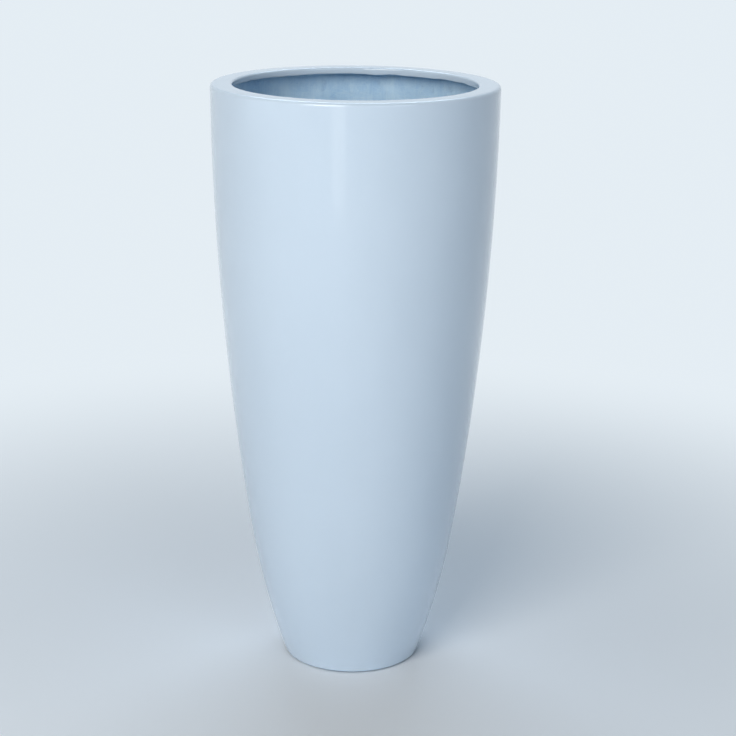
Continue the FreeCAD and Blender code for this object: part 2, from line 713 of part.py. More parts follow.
def make_handles():
    """Closed wire handle: round straight side through the eye, grip hanging below it."""
    made = []
    half = "(Dims.handle_width / 2)"
    tight = "Dims.handle_top_bend"
    wide = "Dims.handle_grip_bend"
    top_pivot = "%s - %s" % (HANDLE_Z, tight)
    grip_pivot = "%s + %s" % (HANDLE_LOW, wide)
    leg = "Dims.handle_drop - %s - %s" % (tight, wide)
    down = FreeCAD.Vector(0, 0, -1)
    for number in (1, 2):
        label = "handle_%d" % number
        axle = doc.addObject("Part::Cylinder", label + "_axle")
        bind(axle, "Radius", "Dims.handle_wire / 2")
        bind(axle, "Height", "Dims.handle_width - 2 * %s" % tight)
        axle.Placement.Rotation = FreeCAD.Rotation(FreeCAD.Vector(1, 0, 0), -90.0)
        bind(axle, "Placement.Base.y", "%s - %s" % (tight, half))
        bind(axle, "Placement.Base.z", HANDLE_Z)
        pieces = [axle]
        for side, sign in (("left", "-"), ("right", "")):
            turn = 90.0 if side == "left" else -90.0
            name = "%s_%s" % (label, side)
            corner = "%s(%s - %s)" % (sign, half, tight)
            top_section = wire_section(name + "_top", corner, HANDLE_Z, "across")
            pieces.append(wire_bend(name + "_top_bend", top_section, corner, top_pivot, turn))
            leg_section = wire_section(name + "_leg", sign + half, top_pivot, "down")
            pieces.append(wire_straight(name + "_leg_wire", leg_section, down, leg))
            grip_corner = "%s(%s - %s)" % (sign, half, wide)
            grip_section = wire_section(name + "_grip", grip_corner, HANDLE_LOW, "across")
            pieces.append(wire_bend(name + "_grip_bend", grip_section, grip_corner, grip_pivot, -turn))
        grip = wire_section(label + "_grip", "%s - %s" % (wide, half), HANDLE_LOW, "across")
        pieces.append(wire_straight(label + "_grip_wire", grip, FreeCAD.Vector(0, 1, 0),
                                    "Dims.handle_width - 2 * %s" % wide))
        loop = doc.addObject("Part::MultiFuse", label)
        loop.Label = label
        loop.Shapes = pieces
        loop.Refine = True
        doc.recompute()
        turn_about_axis(loop, number)
        bind(loop, "Placement.Base.x", "%s%s" % ("" if number == 1 else "-", HANDLE_X))
        made.append(loop)
    return made


# ---------------------------------------------------------------- build, check, write

def check(parts):
    """Every object has to be sound, and every sub-part whole, before anything is written."""
    doc.recompute()
    for item in doc.Objects:
        if "Invalid" in item.State or "Error" in item.State:
            raise RuntimeError("%s (%s) is not sound: %s" % (item.Name, item.Label, item.State))
    for item in parts:
        if item.Shape.isNull() or not item.Shape.isValid() or not item.Shape.Solids:
            raise RuntimeError("%s has no valid solid" % item.Label)


parts = []
for make in (make_shell, make_pads, make_base_plate, make_bung, make_ledge, make_gussets, make_insert_wall,
             make_bead_wire, make_insert_floor, make_brackets, make_rivets, make_handles):
    parts.extend(make())
check(parts)
os.makedirs("parts", exist_ok=True)
for item in parts:
    item.Shape.exportStep("parts/%s.step" % item.Label)
    print("%-20s %d solid(s) %10.1f mm3" % (item.Label, len(item.Shape.Solids), item.Shape.Volume))
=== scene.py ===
"""Looks of the tall round floor planter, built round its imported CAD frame.

The shell is turned again here with finer rounds, a hand-trimmed edge under the lip and a
lumpy laid-up inside.  The insert's rolled edge, the wire handles, the rivets, the pads and
the bung are rebuilt with true rounds.  Everything else keeps its CAD shape and gets a
procedural finish.  Lengths are in metres, in the frame of the CAD part.
"""

import logging
import math
from dataclasses import dataclass, field
from enum import Enum
from typing import Any, Callable, Iterable, Optional, Sequence, Union

import bpy
from mathutils import Matrix, Vector

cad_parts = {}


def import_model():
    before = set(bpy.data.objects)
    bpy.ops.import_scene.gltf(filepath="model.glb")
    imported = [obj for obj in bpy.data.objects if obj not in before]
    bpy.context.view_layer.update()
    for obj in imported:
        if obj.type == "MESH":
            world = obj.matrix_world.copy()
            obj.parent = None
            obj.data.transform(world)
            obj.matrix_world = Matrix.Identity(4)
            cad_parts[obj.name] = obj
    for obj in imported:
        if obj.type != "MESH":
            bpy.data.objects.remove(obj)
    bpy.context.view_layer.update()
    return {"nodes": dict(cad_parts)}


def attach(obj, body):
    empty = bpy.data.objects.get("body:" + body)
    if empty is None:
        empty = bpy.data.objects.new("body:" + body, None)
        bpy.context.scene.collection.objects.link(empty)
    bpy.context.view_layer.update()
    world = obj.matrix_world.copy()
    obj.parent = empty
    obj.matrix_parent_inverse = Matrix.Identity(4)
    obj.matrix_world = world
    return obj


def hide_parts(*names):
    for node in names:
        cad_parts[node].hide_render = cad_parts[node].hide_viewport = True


log = logging.getLogger("planter")

Point = tuple[float, float]
Colour = tuple[float, float, float, float]

MM = 0.001
SHARP = math.radians(40.0)      # edges with a sharper angle than this are seen as edges
SAME = 1e-6                     # vertices nearer than this are one


# ---------------------------------------------------------------- shader helpers

class Value:
    """A number that varies over a surface: a shader socket with arithmetic on it."""

    def __init__(self, tree: "Tree", socket: Any) -> None:
        """Wraps an output socket of a tree that carries a number."""
        self.tree = tree
        self.socket = socket

    def __add__(self, other: "Number") -> "Value":
        """Sum of both."""
        return self.tree.maths("ADD", self, other)

    def __radd__(self, other: "Number") -> "Value":
        """Sum with a plain number on the left."""
        return self + other

    def __sub__(self, other: "Number") -> "Value":
        """This less the other."""
        return self.tree.maths("SUBTRACT", self, other)

    def __rsub__(self, other: "Number") -> "Value":
        """A plain number less this."""
        return self.tree.maths("SUBTRACT", other, self)

    def __mul__(self, other: "Number") -> "Value":
        """Product of both."""
        return self.tree.maths("MULTIPLY", self, other)

    def __abs__(self) -> "Value":
        """This without its sign."""
        return self.tree.maths("ABSOLUTE", self)

    def ramp(self, low: float, high: float) -> "Value":
        """Smooth step of this value: 0 at low, 1 at high, which may lie below low."""
        node = self.tree.node("ShaderNodeMapRange", {"interpolation_type": "SMOOTHSTEP", "clamp": True},
                              {"Value": self, "From Min": low, "From Max": high})
        return Value(self.tree, node.outputs["Result"])


Number = Union[Value, float]


class Tree:
    """The node tree of a material or of the world, with one method that adds any node."""

    def __init__(self, owner: Union[bpy.types.Material, bpy.types.World]) -> None:
        """Empties a tree.

        Args:
            owner: the material or the world to build.
        """
        owner.use_nodes = True
        self.nodes = owner.node_tree.nodes
        self.links = owner.node_tree.links
        self.nodes.clear()

    def node(self, kind: str, settings: Optional[dict[str, Any]] = None,
             sockets: Optional[dict[Union[str, int], Any]] = None) -> bpy.types.Node:
        """Adds a node.

        Args:
            kind: the node's type.
            settings: properties to set on it.
            sockets: what goes into its inputs, by name or number: a Value, a socket or a constant.

        Returns:
            The new node.
        """
        made = self.nodes.new(kind)
        for name, setting in (settings or {}).items():
            setattr(made, name, setting)
        for name, given in (sockets or {}).items():
            self.feed(made.inputs[name], given)
        return made

    def feed(self, target: Any, given: Any) -> None:
        """Links a socket or sets it.

        Args:
            target: the input socket.
            given: a Value, an output socket, or a constant.
        """
        if isinstance(given, Value):
            given = given.socket
        if isinstance(given, bpy.types.NodeSocket):
            self.links.new(given, target)
        else:
            target.default_value = given

    def maths(self, operation: str, *operands: Number) -> Value:
        """Result of a Math node with these operands, values or numbers in order."""
        made = self.node("ShaderNodeMath", {"operation": operation}, dict(enumerate(operands)))
        return Value(self, made.outputs[0])

    def place(self, scale: Sequence[float] = (1.0, 1.0, 1.0)) -> Any:
        """Object coordinates times a factor on each axis, as a vector socket."""
        return self.scaled(self.node("ShaderNodeTexCoord").outputs["Object"], scale)

    def axes(self) -> tuple[Value, Value, Value]:
        """Object coordinates x, y and z, in metres."""
        made = self.node("ShaderNodeSeparateXYZ", None, {"Vector": self.place()})
        return tuple(Value(self, made.outputs[name]) for name in "XYZ")

    def reach(self) -> Value:
        """Distance from the planter's axis, in metres."""
        x, y, _ = self.axes()
        return self.maths("SQRT", x * x + y * y)

    def scaled(self, vector: Any, scale: Sequence[float]) -> Any:
        """A vector socket times a factor on each axis."""
        made = self.node("ShaderNodeVectorMath", {"operation": "MULTIPLY"}, {0: vector, 1: tuple(scale)})
        return made.outputs["Vector"]

    def noise(self, vector: Any, scale: float, detail: float = 3.0, roughness: float = 0.5,
              distortion: float = 0.0) -> Value:
        """Noise between about 0.25 and 0.75.

        Args:
            vector: where it is read.
            scale: cells a unit of the vector.
            detail: octaves.
            roughness: strength of the finer octaves.
            distortion: how far the noise is dragged about.

        Returns:
            The noise.
        """
        sockets = {"Vector": vector, "Scale": scale, "Detail": detail, "Roughness": roughness,
                   "Distortion": distortion}
        made = self.node("ShaderNodeTexNoise", None, sockets)
        return Value(self, made.outputs["Fac"])

    def crystals(self, vector: Any, scale: float) -> Value:
        """Voronoi cells, each of one tone.

        Args:
            vector: where they are read.
            scale: cells a unit of the vector.

        Returns:
            Each cell's tone, between 0 and 1.
        """
        cells = self.node("ShaderNodeTexVoronoi", {"feature": "F1"}, {"Vector": vector, "Scale": scale})
        made = self.node("ShaderNodeSeparateColor", None, {"Color": cells.outputs["Color"]})
        return Value(self, made.outputs["Red"])

    def blend(self, factor: Number, first: Any, second: Any) -> Any:
        """Mixes two colours.

        Args:
            factor: 0 gives the first, 1 the second.
            first: a colour or a colour socket.
            second: a colour or a colour socket.

        Returns:
            A colour socket.
        """
        made = self.node("ShaderNodeMix", {"data_type": "RGBA", "clamp_factor": True})
        self.feed(made.inputs["Factor"], factor)
        self.feed(made.inputs[6], first)
        self.feed(made.inputs[7], second)
        return made.outputs[2]

    def bump(self, height: Value, depth: float, strength: float) -> Any:
        """Normal bumped by a relief of 0 to 1, where 1 stands for depth in metres."""
        sockets = {"Height": height, "Distance": depth, "Strength": strength}
        return self.node("ShaderNodeBump", None, sockets).outputs["Normal"]

    def seen(self) -> Value:
        """Tells what is looked at, straight or in a gloss, from what only gives light.

        Returns:
            1 where the camera, a reflection or clear glass looks, 0 elsewhere.
        """
        path = self.node("ShaderNodeLightPath")
        camera, glossy, clear = (Value(self, path.outputs["Is %s Ray" % kind])
                                 for kind in ("Camera", "Glossy", "Transmission"))
        return self.maths("MAXIMUM", self.maths("MAXIMUM", camera, glossy), clear)

    def mix_shaders(self, factor: Number, first: Any, second: Any) -> Any:
        """Mix of two shader sockets: a factor of 0 gives the first, 1 the second."""
        return self.node("ShaderNodeMixShader", None, {0: factor, 1: first, 2: second}).outputs[0]

    def principled(self, **sockets: Any) -> Any:
        """The Principled shader with these inputs, spaces written as underscores."""
        given = {name.replace("_", " "): what for name, what in sockets.items()}
        return self.node("ShaderNodeBsdfPrincipled", None, given).outputs["BSDF"]

    def close(self, shader: Any, output: str = "ShaderNodeOutputMaterial") -> None:
        """Joins a shader socket to an output node of this type."""
        self.node(output, None, {"Surface": shader})

    def surface(self, **sockets: Any) -> None:
        """The Principled shader with these inputs, on the material's output."""
        self.close(self.principled(**sockets))


# ---------------------------------------------------------------- finishes

class Coat:
    """What all finishes share: a name, and a way to paint it on a node tree."""

    name: str

    def build(self) -> bpy.types.Material:
        """Builds the material.

        Returns:
            The material, painted.
        """
        material = bpy.data.materials.new(self.name)
        self.paint(Tree(material))
        return material

    def paint(self, tree: Tree) -> None:
        """Fills an empty tree with the finish."""
        raise NotImplementedError


@dataclass(frozen=True)
class GelCoat(Coat):
    """Gloss white gel-coat sprayed into the mould: cool white, faintly uneven."""

    name: str = "gelcoat"
    light: Colour = (0.690, 0.815, 0.950, 1.0)
    shade: Colour = (0.665, 0.790, 0.925, 1.0)
    dust: Colour = (0.560, 0.640, 0.700, 1.0)
    roughness: float = 0.16
    ripple_depth: float = 0.0006

    def paint(self, tree: Tree) -> None:
        """Ripples from the mould, wiped patches, and a little dust near the floor."""
        broad = tree.noise(tree.place((1.0, 1.0, 0.45)), 7.0, detail=3.0)
        fine = tree.noise(tree.place(), 160.0, detail=2.0)
        ripple = tree.noise(tree.place((1.0, 1.0, 0.6)), 16.0, detail=1.0)
        _, _, height = tree.axes()
        grime = height.ramp(0.035, 0.0) * tree.noise(tree.place(), 38.0, detail=4.0).ramp(0.35, 0.75)
        body = tree.blend(broad.ramp(0.3, 0.7), self.shade, self.light)
        colour = tree.blend(grime * 0.14, body, self.dust)
        wiped = tree.noise(tree.place((1.0, 1.0, 0.25)), 22.0, detail=4.0).ramp(0.35, 0.8)
        relief = tree.bump(ripple * 0.8 + fine * 0.06, self.ripple_depth, 0.35)
        tree.surface(Base_Color=colour, Roughness=self.roughness + wiped * 0.05 + grime * 0.1,
                     Normal=relief, Coat_Weight=0.35, Coat_Roughness=0.06, IOR=1.5)


@dataclass(frozen=True)
class RawLaminate(Coat):
    """Laid-up glass mat seen from behind: blue-grey resin, pale strands, blotches, runs."""

    name: str = "raw_laminate"
    resin: Colour = (0.400, 0.630, 0.860, 1.0)
    pale: Colour = (0.600, 0.800, 0.960, 1.0)
    strand: Colour = (0.660, 0.830, 0.960, 1.0)
    dry: Colour = (0.290, 0.480, 0.680, 1.0)
    strand_size: float = 0.0022
    lump_depth: float = 0.0022

    def paint(self, tree: Tree) -> None:
        """Runs, blotches, dry patches and strands over the resin."""
        runs = tree.noise(tree.place((1.0, 1.0, 0.12)), 50.0, detail=5.0, roughness=0.6, distortion=0.4)
        blotch = tree.noise(tree.place((1.0, 1.0, 0.7)), 26.0, detail=5.0, roughness=0.62, distortion=0.6)
        patches = tree.noise(tree.place(), 60.0, detail=3.0)
        wetting = (runs * 0.4 + blotch * 0.6).ramp(0.34, 0.66)
        base = tree.blend(wetting, self.resin, self.pale)
        base = tree.blend(patches.ramp(0.56, 0.74) * 0.5, base, self.dry)
        strands = self._strands(tree)
        colour = tree.blend(strands * 0.35, base, self.strand)
        lumps = tree.noise(tree.place(), 45.0, detail=4.0, roughness=0.55)
        relief = tree.bump(lumps * 0.9 + strands * 0.03, self.lump_depth, 0.6)
        tree.surface(Base_Color=colour, Roughness=0.42 + wetting * 0.22 + strands * 0.1, Normal=relief,
                     Coat_Weight=0.12, Coat_Roughness=0.25)

    def _strands(self, tree: Tree) -> Value:
        """Chopped strands lying three ways.

        Args:
            tree: the tree to add them to.

        Returns:
            1 along a strand and 0 beside it.
        """
        stretches = ((1.0, 0.10, 1.0), (0.12, 1.0, 1.0), (1.0, 1.0, 0.09))
        total: Optional[Value] = None
        for number, stretch in enumerate(stretches):
            stretched = tree.node("ShaderNodeMapping", None, {
                "Vector": tree.place(), "Rotation": (0.7 * number, 1.1 * number, 0.5 + number),
                "Scale": stretch}).outputs["Vector"]
            line = tree.noise(stretched, 0.35 / self.strand_size, detail=0.0, distortion=0.15)
            layer = abs(line - 0.5).ramp(0.035, 0.0)
            total = layer if total is None else tree.maths("MAXIMUM", total, layer)
        return total


@dataclass(frozen=True)
class Galvanised(Coat):
    """Hot-dipped sheet: spangle crystals of slightly different greys."""

    name: str = "galvanised_sheet"
    light: Colour = (0.640, 0.665, 0.690, 1.0)
    dark: Colour = (0.500, 0.525, 0.550, 1.0)
    bloom: Colour = (0.690, 0.700, 0.705, 1.0)
    spangle: float = 0.0055     # size of a crystal
    drag: float = 0.004         # how far the crystals' edges wander
    feather_depth: float = 0.0001

    def paint(self, tree: Tree) -> None:
        """Crystals with wandering edges, feathered, with a bloom of white rust."""
        drag = tree.node("ShaderNodeTexNoise", None, {"Vector": tree.place(), "Scale": 60.0}).outputs["Color"]
        dragged = tree.node("ShaderNodeVectorMath", {"operation": "ADD"}, {
            0: tree.place(), 1: tree.scaled(drag, (self.drag,) * 3)}).outputs["Vector"]
        tone = tree.crystals(dragged, 1.0 / self.spangle)
        feather = tree.noise(tree.place((1.0, 1.0, 3.0)), 240.0, detail=2.0)
        white_rust = tree.noise(tree.place(), 18.0, detail=5.0).ramp(0.55, 0.8)
        metal = tree.blend(tone * 0.55 + feather * 0.45, self.dark, self.light)
        colour = tree.blend(white_rust * 0.3, metal, self.bloom)
        relief = tree.bump(feather * 0.35 + tone * 0.1, self.feather_depth, 0.4)
        tree.surface(Base_Color=colour, Metallic=0.92 - white_rust * 0.3,
                     Roughness=0.34 + tone * 0.09 + white_rust * 0.14, Normal=relief)


@dataclass(frozen=True)
class PlatedMetal(Coat):
    """Zinc-plated wire or plain steel: fine drawing lines and a few dull patches."""

    name: str
    light: Colour
    dark: Colour
    roughness: float
    grain: float
    line_depth: float = 0.00008

    def paint(self, tree: Tree) -> None:
        """Drawing lines along the wire, and dull patches."""
        lines = tree.noise(tree.place((1.0, 0.12, 1.0)), self.grain, detail=2.0)
        dull = tree.noise(tree.place(), 55.0, detail=4.0).ramp(0.5, 0.78)
        colour = tree.blend(lines * 0.6 + dull * 0.4, self.light, self.dark)
        relief = tree.bump(lines, self.line_depth, 0.5)
        tree.surface(Base_Color=colour, Metallic=1.0 - dull * 0.15,
                     Roughness=self.roughness + dull * 0.22 + lines * 0.05, Normal=relief)


@dataclass(frozen=True)
class Rubber(Coat):
    """Moulded rubber with a little dust in its grain."""

    name: str
    tone: Colour
    dust: Colour
    grain: float = 700.0
    grain_depth: float = 0.0001

    def paint(self, tree: Tree) -> None:
        """Fine grain and patches of dust."""
        grain = tree.noise(tree.place(), self.grain, detail=2.0)
        dusty = tree.noise(tree.place(), 90.0, detail=4.0).ramp(0.42, 0.78)
        colour = tree.blend(dusty * 0.35, self.tone, self.dust)
        relief = tree.bump(grain, self.grain_depth, 0.6)
        tree.surface(Base_Color=colour, Roughness=0.62 + dusty * 0.2, Normal=relief)


@dataclass(frozen=True)
class StudioFloor(Coat):
    """Plain pale floor that passes into the even backdrop away from the planter."""

    name: str = "studio_floor"
    light: Colour = (0.84, 0.87, 0.90, 1.0)
    shade: Colour = (0.82, 0.85, 0.88, 1.0)
    backdrop: Colour = (0.780, 0.850, 0.905, 1.0)
    fade_from: float = 0.30
    fade_to: float = 1.5

    def paint(self, tree: Tree) -> None:
        """A lit floor near the planter, the even backdrop beyond."""
        drift = tree.noise(tree.place(), 1.4, detail=2.0)
        colour = tree.blend(drift, self.shade, self.light)
        floor = tree.principled(Base_Color=colour, Roughness=0.65 + drift * 0.1)
        even = tree.node("ShaderNodeEmission", None, {"Color": self.backdrop, "Strength": 1.0}).outputs[0]
        beyond = tree.reach().ramp(self.fade_from, self.fade_to)
        tree.close(tree.mix_shaders(beyond * tree.seen(), floor, even))


class Finish(Enum):
    """The finishes the planter uses."""

    GELCOAT = GelCoat()
    LAMINATE = RawLaminate()
    GALVANISED = Galvanised()
    WIRE = PlatedMetal("zinc_wire", (0.66, 0.68, 0.70, 1.0), (0.46, 0.48, 0.50, 1.0), 0.26, 900.0)
    RIVET = PlatedMetal("rivet_steel", (0.58, 0.59, 0.60, 1.0), (0.38, 0.39, 0.40, 1.0), 0.33, 500.0)
    PAD_RUBBER = Rubber("pad_rubber", (0.030, 0.030, 0.032, 1.0), (0.110, 0.110, 0.108, 1.0))
    BUNG_RUBBER = Rubber("bung_rubber", (0.060, 0.060, 0.065, 1.0), (0.160, 0.158, 0.150, 1.0))
    FLOOR = StudioFloor()


class Paints:
    """Builds each finish once."""

    def __init__(self) -> None:
        """Starts with no material built."""
        self._made: dict[Finish, bpy.types.Material] = {}

    def get(self, finish: Finish) -> bpy.types.Material:
        """The material of a finish.

        Args:
            finish: which finish.

        Returns:
            Its material, built the first time it is asked for.
        """
        if finish not in self._made:
            self._made[finish] = finish.value.build()
        return self._made[finish]

    def dress(self, thing: bpy.types.Object, *finishes: Finish) -> None:
        """Gives an object its materials.

        Args:
            thing: a mesh object.
            finishes: one finish a material slot.
        """
        thing.data.materials.clear()
        for finish in finishes:
            thing.data.materials.append(self.get(finish))


# ---------------------------------------------------------------- mesh helpers

def edit_new(name: str) -> bpy.types.Object:
    """Names the primitive that was just added and opens it in edit mode, all selected."""
    made = bpy.context.object
    made.name = name
    made.data.name = name
    bpy.ops.object.transform_apply(location=True, rotation=True, scale=True)
    bpy.ops.object.mode_set(mode="EDIT")
    bpy.ops.mesh.select_mode(type="VERT")
    bpy.ops.mesh.select_all(action="SELECT")
    return made


def start_mesh(name: str) -> bpy.types.Object:
    """A new mesh of that name with a single vertex at the origin, in edit mode."""
    bpy.ops.object.select_all(action="DESELECT")
    bpy.ops.mesh.primitive_plane_add(size=MM, location=(0.0, 0.0, 0.0))
    made = edit_new(name)
    bpy.ops.mesh.merge(type="CENTER")
    return made


def start_ring(name: str, centre: Vector, radius: float, corners: int) -> bpy.types.Object:
    """A new ring of edges round a line along Y, in edit mode, all selected.

    Args:
        name: the object's name.
        centre: the ring's centre.
        radius: its radius.
        corners: how many corners it has.

    Returns:
        The object.
    """
    bpy.ops.object.select_all(action="DESELECT")
    bpy.ops.mesh.primitive_circle_add(vertices=corners, radius=radius, fill_type="NOTHING", location=centre,
                                      rotation=(math.pi / 2.0, 0.0, 0.0))
    return edit_new(name)


def extrude_by(way: Vector) -> None:
    """Extrudes what is selected along a straight way."""
    bpy.ops.mesh.extrude_region_move(TRANSFORM_OT_translate={"value": way})


def walk(points: Sequence[Vector], closed: bool) -> None:
    """Draws a chain of edges from the single vertex of a mesh in edit mode.

    Args:
        points: the chain's corners; the vertex is moved to the first.
        closed: whether the last is joined to the first.
    """
    bpy.ops.transform.translate(value=points[0])
    for here, point in zip(points, points[1:]):
        extrude_by(point - here)
    if closed:
        bpy.ops.object.mode_set(mode="OBJECT")
        mesh = bpy.context.object.data
        for index in (0, len(mesh.vertices) - 1):
            mesh.vertices[index].select = True
        bpy.ops.object.mode_set(mode="EDIT")
        bpy.ops.mesh.edge_face_add()


def turn_profile(name: str, profile: Sequence[Point], steps: int, centre: Vector = Vector((0.0, 0.0, 0.0)),
                 axis: Vector = Vector((0.0, 0.0, 1.0)), across: Vector = Vector((1.0, 0.0, 0.0)),
                 closed: bool = True) -> bpy.types.Object:
    """Turns a profile about an axis into a closed mesh.

    Args:
        name: the object's name.
        profile: (distance from the axis, place along it) of each corner.
        steps: divisions of the full turn.
        centre: a point of the axis.
        axis: the axis.
        across: direction of the profile's first coordinate.
        closed: whether the profile closes on itself; an open one starts and ends on the axis.

    Returns:
        The object, in object mode, with outward normals.
    """
    made = start_mesh(name)
    walk([centre + across * reach + axis * along for reach, along in profile], closed)
    bpy.ops.mesh.select_all(action="SELECT")
    bpy.ops.mesh.spin(steps=steps, angle=math.tau, center=centre, axis=axis, use_auto_merge=True)
    tidy_mesh()
    return made


def tidy_mesh(distance: float = SAME) -> None:
    """Merges vertices nearer than a distance, turns the normals out and leaves edit mode."""
    bpy.ops.mesh.select_all(action="SELECT")
    bpy.ops.mesh.remove_doubles(threshold=distance)
    bpy.ops.mesh.normals_make_consistent(inside=False)
    bpy.ops.mesh.select_all(action="DESELECT")
    bpy.ops.object.mode_set(mode="OBJECT")


def pick(*things: bpy.types.Object) -> None:
    """Selects objects and nothing else; the first becomes the active one."""
    bpy.ops.object.select_all(action="DESELECT")
    for thing in things:
        thing.select_set(True)
    bpy.context.view_layer.objects.active = things[0]


def smooth(thing: bpy.types.Object) -> None:
    """Smooth shading, with the edges sharper than SHARP left as they are."""
    pick(thing)
    bpy.ops.object.shade_smooth_by_angle(angle=SHARP)


def apply_modifiers(thing: bpy.types.Object) -> None:
    """Applies every modifier of an object."""
    pick(thing)
    for modifier in list(thing.modifiers):
        bpy.ops.object.modifier_apply(modifier=modifier.name)


def round_edges(thing: bpy.types.Object, width: float, segments: int) -> None:
    """Rounds the edges that are sharper than SHARP.

    Args:
        thing: the mesh object.
        width: width of the round.
        segments: its divisions.
    """
    bevel = thing.modifiers.new("edges", "BEVEL")
    bevel.width = width
    bevel.segments = segments
    bevel.limit_method = "ANGLE"
    bevel.angle_limit = SHARP
    apply_modifiers(thing)


def join_shells(things: Sequence[bpy.types.Object]) -> bpy.types.Object:
    """Joins separate shells into the first object, and gives that back."""
    pick(*things)
    bpy.ops.object.join()
    return things[0]


def set_faces(thing: bpy.types.Object, slot: int, wanted: Callable[[Vector, Vector], bool]) -> None:
    """Puts faces in a material slot by their place.

    Args:
        thing: the mesh object.
        slot: the material slot's number.
        wanted: tells from a face's centre and normal whether it belongs there.
    """
    for face in thing.data.polygons:
        if wanted(face.center, face.normal):
            face.material_index = slot


def ruffle(thing: bpy.types.Object, name: str, weight: Callable[[Vector], float], size: float, depth: float,
           direction: str) -> None:
    """Displaces part of a mesh with soft noise.

    Args:
        thing: the mesh object.
        name: name of the vertex group and the modifier.
        weight: tells from a vertex's place how far it takes part.
        size: size of the noise's waves.
        depth: distance from its lowest to its highest.
        direction: the modifier's direction.
    """
    group = thing.vertex_groups.new(name=name)
    for vertex in thing.data.vertices:
        share = weight(vertex.co)
        if share > 0.0:
            group.add([vertex.index], share, "REPLACE")
    clouds = bpy.data.textures.new(name, "CLOUDS")
    clouds.noise_scale = size
    clouds.noise_depth = 1
    modifier = thing.modifiers.new(name, "DISPLACE")
    modifier.texture = clouds
    modifier.texture_coords = "LOCAL"
    modifier.vertex_group = group.name
    modifier.direction = direction
    modifier.strength = depth
    modifier.mid_level = 0.5


def arc(centre: Point, radius: float, start: float, stop: float, count: int) -> list[Point]:
    """Points along an arc.

    Args:
        centre: its centre.
        radius: its radius.
        start: angle of the first point, in degrees.
        stop: angle of the last.
        count: how many steps.

    Returns:
        count + 1 points.
    """
    made = []
    for number in range(count + 1):
        angle = math.radians(start + (stop - start) * number / count)
        made.append((centre[0] + radius * math.cos(angle), centre[1] + radius * math.sin(angle)))
    return made


def finish_piece(thing: bpy.types.Object, paints: Paints, finish: Finish, body: str,
                 node: str) -> bpy.types.Object:
    """Smooths and dresses a piece, and says what it rides on and stands for.

    Args:
        thing: the piece.
        paints: the finishes.
        finish: its finish.
        body: the body that it moves with.
        node: the CAD node that it replaces.

    Returns:
        The piece.
    """
    smooth(thing)
    paints.dress(thing, finish)
    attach(thing, body)
    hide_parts(node)
    return thing


# ---------------------------------------------------------------- shell

